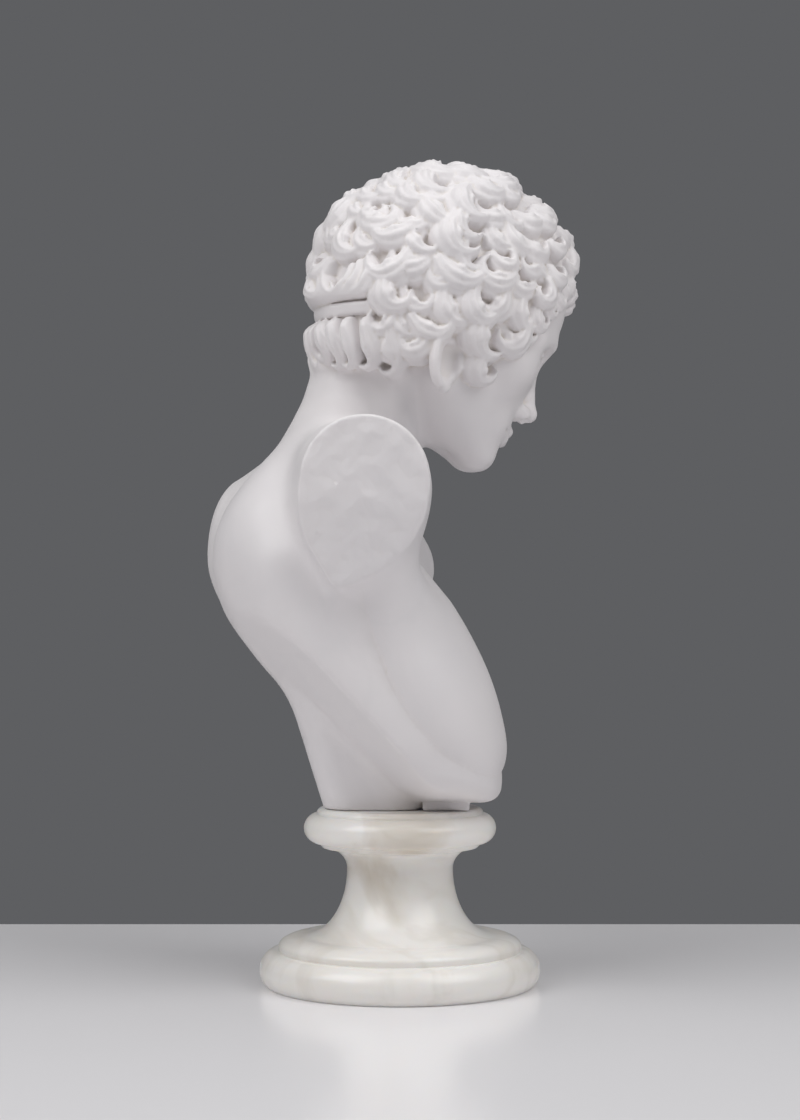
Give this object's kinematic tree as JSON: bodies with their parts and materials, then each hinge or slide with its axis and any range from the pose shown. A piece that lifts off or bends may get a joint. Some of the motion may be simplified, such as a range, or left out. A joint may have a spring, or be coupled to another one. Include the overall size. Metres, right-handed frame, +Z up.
{
  "type": "marble mercury bust",
  "caption": "Marble bust of a bowed, curly-haired youth with sawn-off shoulders, on a turned round alabaster socle.",
  "frame": {"origin": "centre of the round socle's underside, on the surface it stands on", "axes": "+Z up along the socle's turned axis; -Y the way the chest faces; -X the figure's right hand"},
  "size_m": [0.255, 0.2327, 0.5016],
  "materials": {
    "marble": "satin white marble",
    "alabaster": "polished, with faint cloudy veins"
  },
  "bodies": {
    "root": {"bust": "marble", "plinth": "alabaster"}
  },
  "joints": []
}
